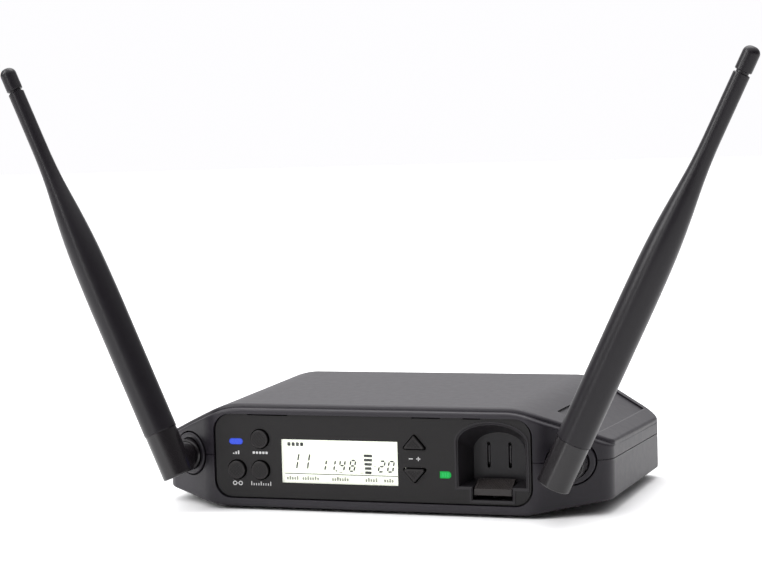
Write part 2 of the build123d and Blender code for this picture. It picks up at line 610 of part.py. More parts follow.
def antenna_elbow(name):
    """Barrel, stub, drum and hollow shaft in one moulding."""
    side = -1 if name == "left" else 1
    x = side * PIVOT_X
    barrel = Pos(0, 0, -BARREL_BELOW) * Cylinder(
        BARREL_R, BARREL_BELOW + BARREL_ABOVE, align=ON_END
    )
    barrel = fillet(barrel.edges().sort_by(Axis.Z)[0], 0.6)
    drum = rod_y(x, PIVOT_Z, DRUM_R, FRONT + 1.6, WEB_FACE - 0.3)
    drum = chamfer(drum.edges().sort_by(Axis.Y)[0], 0.5)
    stub = rod_y(x, PIVOT_Z, STUB_R, PIVOT_Y, FRONT + 3)
    shaft = rod_y(x, PIVOT_Z, SHAFT_R, FRONT + 4, SHAFT_END)
    elbow = leaning(name, barrel) + stub + drum + shaft
    spigot = Pos(0, 0, BARREL_ABOVE - 5) * Cylinder(4.5, 10, align=ON_END)
    core = Cylinder(2.3, 20, align=ON_END)
    elbow = elbow - leaning(name, spigot + core) - rod_y(x, PIVOT_Z, 2.3, PIVOT_Y, SHAFT_END + 1)
    groove = rod_y(x, PIVOT_Z, SHAFT_R + 1, CLIP_Y, CLIP_Y + 1.1)
    groove -= rod_y(x, PIVOT_Z, SHAFT_R - 0.7, CLIP_Y - 1, CLIP_Y + 3)
    return elbow - groove


def friction_washer(name):
    """Bowed washer between the collar and the clip: it gives the swing its drag."""
    side = -1 if name == "left" else 1
    x = side * PIVOT_X
    washer = rod_y(x, PIVOT_Z, 6.2, WEB_BACK + 0.35, CLIP_Y - 0.02)
    return washer - rod_y(x, PIVOT_Z, SHAFT_R + 0.02, WEB_BACK, CLIP_Y + 1)


def shaft_clip(name):
    """Retaining clip snapped into the groove of the shaft."""
    side = -1 if name == "left" else 1
    x = side * PIVOT_X
    ring = rod_y(x, PIVOT_Z, 5.8, CLIP_Y + 0.05, CLIP_Y + 1.05)
    ring -= rod_y(x, PIVOT_Z, SHAFT_R - 0.68, CLIP_Y - 1, CLIP_Y + 3)
    return ring - block(x - 1.6, x + 1.6, CLIP_Y - 1, CLIP_Y + 3, PIVOT_Z - 8, PIVOT_Z)


def turned(lower, smooth, upper):
    """A solid of revolution with a smooth run between straight steps. Points are (radius, height)."""
    bottom, top = (0, lower[0][1]), (0, upper[-1][1])
    below = Polyline(*[(r, 0, z) for r, z in [bottom, *lower, smooth[0]]])
    run = Spline(*[(r, 0, z) for r, z in smooth], tangents=[(0, 0, 1), (0, 0, 1)])
    above = Polyline(*[(r, 0, z) for r, z in [smooth[-1], *upper, top, bottom]])
    return revolve(make_face(Wire([*below.edges(), run.edge(), *above.edges()])), Axis.Z)


def antenna_sleeve(name):
    """Long moulded sleeve: full width below, then a smooth cone to the thin upper part."""
    s = BARREL_ABOVE + 0.02
    lower = [(4.42, s - 4.9), (4.42, s), (SLEEVE_R - 0.3, s), (SLEEVE_R, s + 0.35)]
    cone = [
        (SLEEVE_R, s + 50), (6.3, s + 62), (6.0, s + 74), (5.4, s + 84),
        (4.5, s + 94), (3.65, s + 103), (3.2, s + 111), (3.08, s + 118),
    ]
    sleeve = turned(lower, cone, [(3.05, SLEEVE_END - 0.3), (2.75, SLEEVE_END)])
    core = Pos(0, 0, s - 6) * Cylinder(1.6, SLEEVE_END - s + 8, align=ON_END)
    return leaning(name, sleeve - core)


def antenna_tip(name):
    """Domed cap on a short neck, its plug pushed into the sleeve."""
    a, r = SLEEVE_END + 0.02, 3.1
    plug = Pos(0, 0, a - 5) * Cylinder(1.58, 5.5, align=ON_END)
    neck = Pos(0, 0, a) * Cylinder(2.3, 1.2, align=ON_END)
    body = Pos(0, 0, a + 0.8) * Cylinder(r, TIP_END - a - 0.8, align=ON_END)
    body = fillet(body.edges().sort_by(Axis.Z)[-1], 2.6)
    body = chamfer(body.edges().sort_by(Axis.Z)[0], 0.3)
    return leaning(name, body + neck + plug)


def antenna_radiator(name):
    """Radiating whip inside the sleeve: a wide lower tube and a thin upper rod."""
    lower = Pos(0, 0, 8) * Cylinder(1.5, 60, align=ON_END)
    upper = Pos(0, 0, 67) * Cylinder(0.6, SLEEVE_END - 67 - 6, align=ON_END)
    return leaning(name, lower + upper)


def tube_along(points, radii, r):
    path = FilletPolyline(*points, radius=radii)
    return sweep(Plane(origin=path @ 0, z_dir=path % 0) * Circle(r), path=path)


def antenna_feed(name):
    """Feed cable inside the elbow, along the shaft and up the barrel."""
    side = -1 if name == "left" else 1
    lean = math.radians(LEAN[name])
    end = (side * PIVOT_X + 7.95 * math.sin(lean), PIVOT_Y, PIVOT_Z + 7.95 * math.cos(lean))
    points = [(side * PIVOT_X, SHAFT_END, PIVOT_Z), (side * PIVOT_X, PIVOT_Y, PIVOT_Z), end]
    return tube_along(points, 4.0, 0.7)


def coax_lead(name):
    """Lead inside the case, from the shaft's axis to its socket on the main board."""
    side = -1 if name == "left" else 1
    x = side * PIVOT_X
    points = [
        (x, SHAFT_END + 0.05, PIVOT_Z),
        (x, FRONT + 31.0, PIVOT_Z),
        (side * 69.0, FRONT + 36.0, 16.8),
        (side * 60.5, FRONT + 37.5, 14.6),
        (side * COAX_X, FRONT + 37.5, 11.0),
        (side * COAX_X, FRONT + 37.5, DECK + 1.62),
    ]
    return tube_along(points, [2.8, 4.0, 3.6, 0.9], 0.7)


# ---------------------------------------------------------------- boards and connectors


def main_board():
    board = block(-MAIN_HALF, MAIN_HALF, MAIN_FRONT, MAIN_REAR, BOARD_Z, BOARD_Z + BOARD_T)
    board = fillet(board.edges().filter_by(Axis.Z), 2.0)
    for x, y in BOARD_POSTS:
        board -= rod_z(x, y, 1.5, 0, 20)
    return board


def board_screws():
    screw = Rot(180, 0, 0) * pan_screw(2.4, 1.5, 1.2, 4.6)
    return Compound([Pos(x, y, BOARD_Z + BOARD_T + 0.02) * screw for x, y in BOARD_POSTS])


def rf_shield():
    x0, x1, y0, y1 = -46, -12, FRONT + 31, FRONT + 59
    can = block(x0, x1, y0, y1, DECK, DECK + 5.5)
    can = fillet(can.edges().filter_by(Axis.Z), 1.0)
    return can - block(x0 + 0.4, x1 - 0.4, y0 + 0.4, y1 - 0.4, DECK - 1, DECK + 5.1)


def board_components():
    """Chips on the main board, some of them under the shield, and its capacitors."""
    chips = [
        (-35, FRONT + 41, 9, 9), (-21, FRONT + 49, 7, 7), (14, FRONT + 40, 12, 12), (34, FRONT + 46, 8, 10),
        (16, FRONT + 62, 6, 5),
    ]
    parts = [block(x - w / 2, x + w / 2, y - d / 2, y + d / 2, DECK, DECK + 1.4) for x, y, w, d in chips]
    for x, y in ((-30, FRONT + 66), (-20, FRONT + 66), (-52, FRONT + 52), (44, FRONT + 58)):
        can = rod_z(x, y, 3.15, DECK, DECK + 7.7)
        parts.append(fillet(can.edges().sort_by(Axis.Z)[-1], 0.5))
    return Compound(parts)


def ribbon_cable():
    """Flat cable looping from the control board back to the main board."""
    y0, y1 = BOARD_FACE + BOARD_T + 1.78, FRONT + 25.88
    bends = [(y0, 11.0), (y0 + 1.0, 11.0), (y0 + 5.0, 16.0), (y0 + 8.4, 9.0), (y1, DECK + 0.9)]
    path = FilletPolyline(*bends, radius=1.3)
    strip = path.edges()
    band = make_face(offset(Wire(strip), 0.15, side=Side.BOTH))
    return extrude(Plane(origin=(-8, 0, 0), x_dir=(0, 1, 0), z_dir=(1, 0, 0)) * band, 18)


def board_sockets():
    """The ribbon's two sockets and the small round ones where the antenna leads plug in."""
    y = BOARD_FACE + BOARD_T
    front = block(-9, 11, y + 0.02, y + 1.6, 9.2, 12.8)
    back = block(-9, 11, FRONT + 26.05, FRONT + 29.0, DECK, DECK + 2.0)
    round_ones = [rod_z(s * COAX_X, FRONT + 37.5, 1.6, DECK, DECK + 1.6) for s in (-1, 1)]
    return Compound([front, back] + round_ones)


def xlr_shell():
    """Moulded socket shell with a flange on the outside of the rear wall."""
    y0 = REAR - 17.0
    shell = rod_y(XLR_X, XLR_Z, 11.4, y0, REAR + 0.5)
    flange = slab_y(Pos(XLR_X, XLR_Z) * RectangleRounded(26, 25.4, 4), REAR + 0.03, REAR + 1.2)
    shell = shell + flange - rod_y(XLR_X, XLR_Z, XLR_BORE, y0 + 3.0, REAR + 3)
    shell -= rod_y(XLR_X, XLR_Z, 8.0, y0 - 1, REAR)
    key = block(XLR_X - 1.2, XLR_X + 1.2, y0 + 3.0, REAR + 3, XLR_Z + 9, XLR_Z + 10.3)
    shell -= key
    for dx, dz in ((-9.7, 9.7), (9.7, -9.7)):
        shell -= rod_y(XLR_X + dx, XLR_Z + dz, 1.15, REAR - 1, REAR + 3)
    return shell


def xlr_pin_places():
    turns = [math.radians(a) for a in (0, 180, 270)]
    return [(XLR_X + XLR_PITCH_R * math.cos(a), XLR_Z + XLR_PITCH_R * math.sin(a)) for a in turns]


def xlr_insert():
    y0 = REAR - 17.0
    insert = rod_y(XLR_X, XLR_Z, 7.95, y0 - 2.5, y0 + 3.0)
    for x, z in xlr_pin_places():
        insert -= rod_y(x, z, XLR_PIN_R, y0 - 4, y0 + 5)
    return insert


def xlr_pins():
    pins = []
    for x, z in xlr_pin_places():
        pin = rod_y(x, z, XLR_PIN_R - 0.005, REAR - 22.5, REAR - 2.0)
        pins.append(fillet(pin.edges().sort_by(Axis.Y)[-1], 0.8))
    return Compound(pins)


def xlr_screws():
    screw = Rot(90, 0, 0) * pan_screw(2.0, 1.2, 1.1, 5.0)
    places = [(XLR_X - 9.7, REAR + 1.22, XLR_Z + 9.7), (XLR_X + 9.7, REAR + 1.22, XLR_Z - 9.7)]
    return Compound([Pos(*place) * screw for place in places])


def jack_body():
    y0 = REAR - WALL - 26
    body = block(JACK_X - 7.5, JACK_X + 7.5, y0, REAR - WALL - 0.05, DECK, JACK_Z + 7.5)
    body = fillet(body.edges().filter_by(Axis.Y), 1.0)
    body += rod_y(JACK_X, JACK_Z, 5.5, REAR - WALL - 1, REAR + 1.7)
    return body - rod_y(JACK_X, JACK_Z, JACK_BORE, y0 + 2, REAR + 3)


def jack_nut():
    ring = rod_y(JACK_X, JACK_Z, 7.4, REAR + 0.03, REAR + 1.5)
    ring = chamfer(ring.edges().sort_by(Axis.Y)[-1], 0.3) - rod_y(JACK_X, JACK_Z, 5.5, REAR - 1, REAR + 3)
    for a in range(0, 360, 90):
        t = math.radians(a + 45)
        ring -= rod_y(JACK_X + 7.4 * math.cos(t), JACK_Z + 7.4 * math.sin(t), 0.9, REAR - 1, REAR + 3)
    return ring


def level_pot():
    pot = block(LEVEL_X - 5, LEVEL_X + 5, REAR - 15.5, REAR - 8.0, DECK, LEVEL_Z + 4.6)
    return pot - rod_y(LEVEL_X, LEVEL_Z, 1.5 + RUNNING, REAR - 13.5, REAR)


def level_knob():
    """Recessed output level control with a slot and a pointer mark."""
    knob = rod_y(LEVEL_X, LEVEL_Z, LEVEL_R, REAR - 7.5, REAR - 0.4)
    knob = chamfer(knob.edges().sort_by(Axis.Y)[-1], 0.4)
    knob -= block(LEVEL_X - 0.45, LEVEL_X + 0.45, REAR - 1.6, REAR + 1, LEVEL_Z - 2.6, LEVEL_Z + 2.6)
    return knob + rod_y(LEVEL_X, LEVEL_Z, 1.5, REAR - 13.2, REAR - 7)


def usb_port():
    y0, y1, z0 = REAR - 6.2, REAR - 0.5, DECK
    shell = block(USB_X - 3.8, USB_X + 3.8, y0, y1, z0, z0 + 2.8)
    shell = fillet(shell.edges().filter_by(Axis.Y), 0.6)
    shell -= block(USB_X - 3.45, USB_X + 3.45, y0 + 0.4, y1 + 1, z0 + 0.35, z0 + 2.45)
    return shell + block(USB_X - 2.2, USB_X + 2.2, y0, y1 - 1.2, z0 + 1.5, z0 + 2.1)


def dc_jack():
    body = block(DC_X - 4.5, DC_X + 4.5, REAR - 15.0, REAR - WALL - 0.05, DECK, DC_Z + 5.2)
    body = body + rod_y(DC_X, DC_Z, 4.0, REAR - 4, REAR + 0.4)
    return body - rod_y(DC_X, DC_Z, 2.85, REAR - 11.5, REAR + 2) - rod_y(DC_X, DC_Z, 0.81, REAR - 14, REAR)


def dc_pin():
    pin = rod_y(DC_X, DC_Z, 1.03, REAR - 11.48, REAR - 2.2)
    return fillet(pin.edges().sort_by(Axis.Y)[-1], 0.5) + rod_y(DC_X, DC_Z, 0.8, REAR - 13.8, REAR - 11)


def write(name, shape):
    export_step(shape, f"parts/{name}.step")


def main():
    low, high = shells()
    write("bottom_case", bottom_case(low))
    write("top_cover", top_cover(high))
    simple = [
        rubber_feet, case_screws, front_panel, panel_screws, lcd_window, lcd_module, lcd_frame,
        rf_lens, battery_lens,
        indicator_leds, button_switches, control_board, charging_bay, bay_latch, latch_spring, bay_contacts,
        contact_board, main_board, board_screws, rf_shield, board_components, ribbon_cable, board_sockets,
        xlr_shell, xlr_insert, xlr_pins, xlr_screws, jack_body, jack_nut, level_pot, level_knob, usb_port,
        dc_jack, dc_pin,
    ]
    for build in simple:
        write(build.__name__, build())
    for name in BUTTONS:
        write(f"{name}_button", round_button(name))
    write("gain_up_button", gain_button(True))
    write("gain_down_button", gain_button(False))
    pair = [
        socket_collar, antenna_elbow, friction_washer, shaft_clip,
        antenna_sleeve, antenna_tip, antenna_radiator,
        antenna_feed, coax_lead,
    ]
    for name in ("left", "right"):
        for build in pair:
            write(f"{name}_{build.__name__}", build(name))


main()
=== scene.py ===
import json
import math

import bmesh
import bpy
from mathutils import Matrix, Vector


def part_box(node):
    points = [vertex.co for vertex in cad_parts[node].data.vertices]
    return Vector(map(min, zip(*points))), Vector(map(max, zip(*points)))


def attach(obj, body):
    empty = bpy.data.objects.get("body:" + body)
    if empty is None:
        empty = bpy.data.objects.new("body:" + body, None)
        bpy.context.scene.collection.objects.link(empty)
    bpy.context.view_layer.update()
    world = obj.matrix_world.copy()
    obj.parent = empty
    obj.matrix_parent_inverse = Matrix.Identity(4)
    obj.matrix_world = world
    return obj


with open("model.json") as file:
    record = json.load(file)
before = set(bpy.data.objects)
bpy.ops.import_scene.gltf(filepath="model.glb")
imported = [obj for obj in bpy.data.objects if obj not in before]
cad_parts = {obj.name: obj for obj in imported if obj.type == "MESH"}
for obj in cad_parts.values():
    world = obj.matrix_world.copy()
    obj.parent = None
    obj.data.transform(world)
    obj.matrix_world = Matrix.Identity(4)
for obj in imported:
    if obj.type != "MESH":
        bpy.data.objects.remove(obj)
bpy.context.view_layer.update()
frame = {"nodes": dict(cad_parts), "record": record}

MM = 0.001


# ---------------------------------------------------------------- materials

class Finish:
    """A material and the few calls that build its node tree."""

    def __init__(self, name):
        self.material = bpy.data.materials.new(name)
        self.material.use_nodes = True
        self.tree = self.material.node_tree
        self.tree.nodes.clear()
        self.where = self.add("TexCoord").outputs["Object"]

    def add(self, kind, inputs=None, **settings):
        node = self.tree.nodes.new("ShaderNode" + kind)
        for name, value in settings.items():
            setattr(node, name, value)
        for name, value in (inputs or {}).items():
            if isinstance(value, bpy.types.NodeSocket):
                self.tree.links.new(value, node.inputs[name])
            else:
                node.inputs[name].default_value = value
        return node

    def noise(self, size, detail=2.0, roughness=0.5):
        """Noise whose features are about `size` metres across."""
        return self.add("TexNoise", {"Vector": self.where, "Scale": 1 / size,
                                     "Detail": detail, "Roughness": roughness}).outputs["Fac"]

    def ramp(self, value, low, high, to_low=0.0, to_high=1.0):
        return self.add("MapRange", {"Value": value, "From Min": low, "From Max": high,
                                     "To Min": to_low, "To Max": to_high}).outputs["Result"]

    def math(self, operation, a, b):
        return self.add("Math", {0: a, 1: b}, operation=operation).outputs[0]

    def mix(self, factor, a, b):
        node = self.add("Mix", data_type="RGBA")
        for socket, value in (("Factor_Float", factor), ("A_Color", a), ("B_Color", b)):
            target = next(s for s in node.inputs if s.identifier == socket)
            if isinstance(value, bpy.types.NodeSocket):
                self.tree.links.new(value, target)
            else:
                target.default_value = value
        return next(s for s in node.outputs if s.identifier == "Result_Color")

    def edges(self, radius, sharpest=0.9):
        """1 along convex and concave edges, 0 on open faces."""
        soft = self.add("Bevel", {"Radius": radius}, samples=4).outputs[0]
        flat = self.add("NewGeometry").outputs["Normal"]
        facing = self.add("VectorMath", {0: soft, 1: flat}, operation="DOT_PRODUCT")
        return self.ramp(facing.outputs["Value"], sharpest, 0.995, 1.0, 0.0)

    def bump(self, height, distance, strength=1.0):
        return self.add("Bump", {"Height": height, "Distance": distance,
                                 "Strength": strength}).outputs["Normal"]

    def surface(self, shader):
        out = self.add("OutputMaterial")
        self.tree.links.new(shader, out.inputs["Surface"])
        return self.material


def rgb(r, g, b):
    return (r, g, b, 1.0)


def scaled(color, by):
    return tuple(min(1.0, c * by) for c in color[:3]) + (1.0,)


def plastic(name, color, rough, grain=0.45 * MM, relief=0.012 * MM, wear=1.5, radius=0.35 * MM,
            mottle=0.04, coat=0.0, ior=1.46):
    """Moulded plastic: spark-eroded grain, faint mottling and polished edges."""
    f = Finish(name)
    cloud = f.noise(22 * MM, 3.0)
    speck = f.noise(grain * 2.2, 2.0)
    base = f.mix(f.ramp(cloud, 0.3, 0.7), scaled(color, 1 - mottle), scaled(color, 1 + mottle))
    base = f.mix(f.ramp(speck, 0.35, 0.75, 0.0, 0.35), base, scaled(color, 0.72))
    edge = f.edges(radius)
    base = f.mix(f.math("MULTIPLY", edge, 0.6), base, scaled(color, wear))
    blotch = f.ramp(f.noise(3 * MM, 2.0), 0.25, 0.75, rough - 0.02, rough + 0.02)
    gloss = f.math("SUBTRACT", blotch, f.math("MULTIPLY", edge, 0.12))
    height = f.math("ADD", f.noise(grain, 3.0, 0.6), f.math("MULTIPLY", f.noise(grain * 3, 1.0), 0.2))
    shader = f.add("BsdfPrincipled", {"Base Color": base, "Roughness": gloss, "IOR": ior,
                                      "Coat Weight": coat, "Coat Roughness": 0.22,
                                      "Normal": f.bump(height, relief)})
    return f.surface(shader.outputs[0])


def hatched(name, color, rough, pitch):
    """Moulded plastic with slanting grip lines on its upper face; the upper face is painted darker as shade and
    the lines are painted paler as highlights.
    """
    f = Finish(name)
    turned = f.add("Mapping", {"Vector": f.where, "Rotation": (0, 0, math.radians(38))})
    wave = f.add("TexWave", {"Vector": turned.outputs[0], "Scale": 0.314 / pitch},
                 wave_type="BANDS", bands_direction="X").outputs["Fac"]
    normal = f.add("NewGeometry").outputs["Normal"]
    upper = f.ramp(f.add("SeparateXYZ", {0: normal}).outputs[2], 0.6, 0.9)
    lines = f.math("MULTIPLY", wave, upper)
    # Painted shade: faces turned upward are painted darker.
    base = f.mix(upper, color, scaled(color, 0.35))
    # Painted highlight: the grip lines are painted paler than the face around them.
    base = f.mix(f.ramp(lines, 0.35, 0.75), base, scaled(color, 2.2))
    base = f.mix(f.math("MULTIPLY", f.edges(0.3 * MM), 0.5), base, scaled(color, 1.7))
    gloss = f.ramp(f.noise(3 * MM, 3.0), 0.3, 0.7, rough - 0.05, rough + 0.05)
    height = f.math("ADD", lines, f.math("MULTIPLY", f.noise(0.25 * MM), 0.2))
    shader = f.add("BsdfPrincipled", {"Base Color": base, "Roughness": gloss, "IOR": 1.36,
                                      "Normal": f.bump(height, 0.08 * MM)})
    return f.surface(shader.outputs[0])


def key_top(name, color, rough, face):
    """Moulded key: painted highlight on the tops of its knurl and along its edges, painted shade in the grooves
    and on the sides.
    """
    f = Finish(name)
    depth = f.add("SeparateXYZ", {0: f.where}).outputs[1]
    # Painted highlight and shade: 1 on the frontmost tops of the knurl, 0 in the grooves and on the sides.
    raised = f.ramp(depth, face + 0.02 * MM, face + 0.09 * MM, 1.0, 0.0)
    highlight_patchiness = f.ramp(f.noise(1.2 * MM, 3.0), 0.3, 0.7, 0.75, 1.0)
    # The knurl tops are painted up to 6.5 times paler, as a patchy painted highlight.
    base = f.mix(f.math("MULTIPLY", raised, highlight_patchiness), color, scaled(color, 6.5))
    # Painted highlight along the key's edges.
    base = f.mix(f.math("MULTIPLY", f.edges(0.25 * MM), 0.5), base, scaled(color, 8.0))
    gloss = f.ramp(f.noise(0.8 * MM, 3.0), 0.3, 0.7, rough - 0.04, rough + 0.04)
    shader = f.add("BsdfPrincipled", {"Base Color": base, "Roughness": gloss, "IOR": 1.30,
                                      "Normal": f.bump(f.noise(0.25 * MM), 0.006 * MM)})
    return f.surface(shader.outputs[0])


def metal(name, color, rough, drag=(1, 1, 1), tarnish=0.25):
    """Bare or plated metal with fine drawn marks and a little tarnish."""
    f = Finish(name)
    stretched = f.add("Mapping", {"Vector": f.where, "Scale": drag}).outputs[0]
    marks = f.add("TexNoise", {"Vector": stretched, "Scale": 1 / (0.18 * MM), "Detail": 3.0}).outputs["Fac"]
    stain = f.ramp(f.noise(1.6 * MM, 4.0), 0.45, 0.75, 0.0, tarnish)
    base = f.mix(stain, color, scaled(color, 0.55))
    gloss = f.ramp(marks, 0.3, 0.7, max(0.05, rough - 0.08), rough + 0.10)
    shader = f.add("BsdfPrincipled", {"Base Color": base, "Roughness": gloss, "Metallic": 1.0,
                                      "Normal": f.bump(marks, 0.004 * MM)})
    return f.surface(shader.outputs[0])


def glowing(name, color, glow):
    """A tinted lens lit from behind, a little deeper towards its rim."""
    f = Finish(name)
    cloud = f.ramp(f.noise(1.5 * MM, 1.0), 0.3, 0.7, 0.0, 0.25)
    tint = f.mix(cloud, glow, scaled(glow, 0.85))
    tint = f.mix(f.math("MULTIPLY", f.edges(0.5 * MM, 0.8), 0.7), tint, scaled(glow, 0.45))
    gloss = f.ramp(f.noise(0.6 * MM, 2.0), 0.3, 0.7, 0.22, 0.34)
    shader = f.add("BsdfPrincipled", {"Base Color": color, "Roughness": gloss, "Emission Color": tint,
                                      "Emission Strength": 1.0, "IOR": 1.3,
                                      "Normal": f.bump(f.noise(0.4 * MM), 0.004 * MM)})
    return f.surface(shader.outputs[0])


def display_glass(name):
    """The pale backlit face of the display, a little uneven in tint."""
    f = Finish(name)
    cloud = f.noise(30 * MM, 1.0)
    tint = f.mix(f.ramp(cloud, 0.3, 0.7), rgb(0.87, 0.88, 0.815), rgb(0.89, 0.895, 0.84))
    speck = f.ramp(f.noise(0.25 * MM), 0.3, 0.7, 0.42, 0.5)
    shader = f.add("BsdfPrincipled", {"Base Color": tint, "Roughness": speck,
                                      "Emission Color": tint, "Emission Strength": 0.60})
    return f.surface(shader.outputs[0])


def clear_window(name):
    """A thin clear window: straight-through light with a faint smudged gloss."""
    f = Finish(name)
    smudge = f.ramp(f.noise(9 * MM, 4.0), 0.35, 0.75, 0.03, 0.12)
    through = f.add("BsdfTransparent", {"Color": rgb(0.97, 0.98, 0.96)}).outputs[0]
    gloss = f.add("BsdfGlossy", {"Roughness": smudge, "Color": rgb(1, 1, 1)}).outputs[0]
    facing = f.add("Fresnel", {"IOR": 1.3}).outputs[0]
    both = f.add("MixShader", {0: facing, 1: through, 2: gloss}).outputs[0]
    return f.surface(both)


def printed(name, color, rough=0.5):
    """Screen-printed or driven ink: thin, slightly uneven in density."""
    f = Finish(name)
    dense = f.ramp(f.noise(0.3 * MM, 3.0), 0.3, 0.7, 0.0, 1.0)
    base = f.mix(dense, scaled(color, 0.86), color)
    gloss = f.ramp(dense, 0, 1, rough - 0.05, rough + 0.05)
    shader = f.add("BsdfPrincipled", {"Base Color": base, "Roughness": gloss,
                                      "Normal": f.bump(dense, 0.003 * MM)})
    return f.surface(shader.outputs[0])


def solder_mask(name):
    """Green circuit board with faint copper runs under the mask."""
    f = Finish(name)
    cells = f.add("TexBrick", {"Vector": f.where, "Scale": 160.0, "Mortar Size": 0.03,
                               "Color1": rgb(0.012, 0.10, 0.045), "Color2": rgb(0.016, 0.13, 0.055),
                               "Mortar": rgb(0.03, 0.20, 0.09)}).outputs["Color"]
    cloud = f.noise(4 * MM, 3.0)
    base = f.mix(f.ramp(cloud, 0.4, 0.6, 0.0, 0.4), cells, rgb(0.010, 0.08, 0.04))
    shader = f.add("BsdfPrincipled", {"Base Color": base, "Roughness": f.ramp(cloud, 0.3, 0.7, 0.28, 0.40),
                                      "Normal": f.bump(cloud, 0.01 * MM)})
    return f.surface(shader.outputs[0])


def ribbed_lead(name, color, pitch, axis):
    """Flat ribbon or jacketed lead with fine lengthwise ribs, painted paler on their crests and darker in the
    grooves as shade.
    """
    f = Finish(name)
    ribs = f.add("TexWave", {"Vector": f.where, "Scale": 0.314 / pitch}, bands_direction=axis).outputs["Fac"]
    # Painted shade: the rib grooves are painted darker and the crests paler.
    base = f.mix(ribs, scaled(color, 0.75), scaled(color, 1.15))
    shader = f.add("BsdfPrincipled", {"Base Color": base, "Roughness": f.ramp(ribs, 0, 1, 0.5, 0.6),
                                      "Normal": f.bump(ribs, 0.05 * MM)})
    return f.surface(shader.outputs[0])


def finishes():
    steel, tin = rgb(0.42, 0.43, 0.45), rgb(0.55, 0.55, 0.53)
    return {
        "case": plastic("case", rgb(0.0150, 0.0128, 0.0172), 0.45, ior=1.37),
        "panel": plastic("panel", rgb(0.0085, 0.0076, 0.0080), 0.50, grain=0.3 * MM, relief=0.006 * MM,
                         wear=1.25, ior=1.32),
        "bay_plastic": plastic("bay_plastic", rgb(0.0125, 0.0112, 0.0130), 0.40, relief=0.006 * MM, ior=1.34),
        "key_plastic": key_top("key_plastic", rgb(0.0022, 0.0019, 0.0020), 0.32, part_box("group_button")[0].y),
        "latch_plastic": hatched("latch_plastic", rgb(0.0230, 0.0200, 0.0195), 0.45, 0.85 * MM),
        "barrel_plastic": plastic("barrel_plastic", rgb(0.0090, 0.0076, 0.0088), 0.25, relief=0.005 * MM,
                                  coat=0.12, ior=1.40),
        "antenna_plastic": plastic("antenna_plastic", rgb(0.0068, 0.0055, 0.0076), 0.33, relief=0.010 * MM,
                                   ior=1.36),
        "window": clear_window("window"),
        "display": display_glass("display"),
        "blue_lens": glowing("blue_lens", rgb(0.010, 0.020, 0.20), rgb(0.030, 0.070, 0.52)),
        "green_lens": glowing("green_lens", rgb(0.002, 0.09, 0.02), rgb(0.001, 0.33, 0.045)),
        "led": printed("led", rgb(0.85, 0.86, 0.80), 0.2),
        "white_plastic": plastic("white_plastic", rgb(0.75, 0.75, 0.73), 0.45, wear=1.0),
        "switch_plastic": plastic("switch_plastic", rgb(0.02, 0.02, 0.02), 0.5),
        "component_black": plastic("component_black", rgb(0.02, 0.02, 0.021), 0.5),
        "connector_plastic": plastic("connector_plastic", rgb(0.019, 0.018, 0.019), 0.42),
        "circuit_board": solder_mask("circuit_board"),
        "screw_steel": metal("screw_steel", steel, 0.32),
        "spring_steel": metal("spring_steel", rgb(0.50, 0.50, 0.50), 0.25),
        "tin_plate": metal("tin_plate", tin, 0.36, drag=(1, 12, 12)),
        "nickel": metal("nickel", rgb(0.62, 0.60, 0.56), 0.2),
        "contact_metal": metal("contact_metal", rgb(0.80, 0.62, 0.30), 0.22, tarnish=0.15),
        "brass": metal("brass", rgb(0.70, 0.52, 0.24), 0.3),
        "ribbon": ribbed_lead("ribbon", rgb(0.45, 0.46, 0.47), 1.27 * MM, "X"),
        "cable": ribbed_lead("cable", rgb(0.02, 0.02, 0.02), 0.4 * MM, "Y"),
        "rubber": plastic("rubber", rgb(0.013, 0.013, 0.013), 0.72, relief=0.02 * MM, wear=1.2),
        "ink": printed("ink", rgb(0.55, 0.55, 0.55)),
        "segment_dark": printed("segment_dark", rgb(0.004, 0.004, 0.012), 0.45),
        "segment_faint": printed("segment_faint", rgb(0.42, 0.41, 0.38), 0.35),
        "lens_bar": glowing("lens_bar", rgb(0.002, 0.09, 0.02), rgb(0.010, 0.46, 0.095)),
        "rule_grey": printed("rule_grey", rgb(0.16, 0.16, 0.17), 0.35),
        # Painted shade: near-black metal for the bay contacts and the latch spring, as dark as the shade they
        # sit in.
        "contact_dark": metal("contact_dark", rgb(0.045, 0.043, 0.045), 0.42, tarnish=0.5),
    }


LOOK = finishes()
for part in frame["record"]["subparts"]:
    node = frame["nodes"][part["node"]]
    # Painted shade: the bay contacts, the latch spring and the contact board get dark looks because they sit in
    # shade in the slots and under the latch.
    special = {"bay_latch": "latch_plastic", "bay_contacts": "contact_dark", "latch_spring": "contact_dark",
               "contact_board": "switch_plastic"}
    slot = special.get(part["node"], part["material_slot"])
    node.data.materials.clear()
    node.data.materials.append(LOOK[slot])


# ---------------------------------------------------------------- thin printed and driven shapes

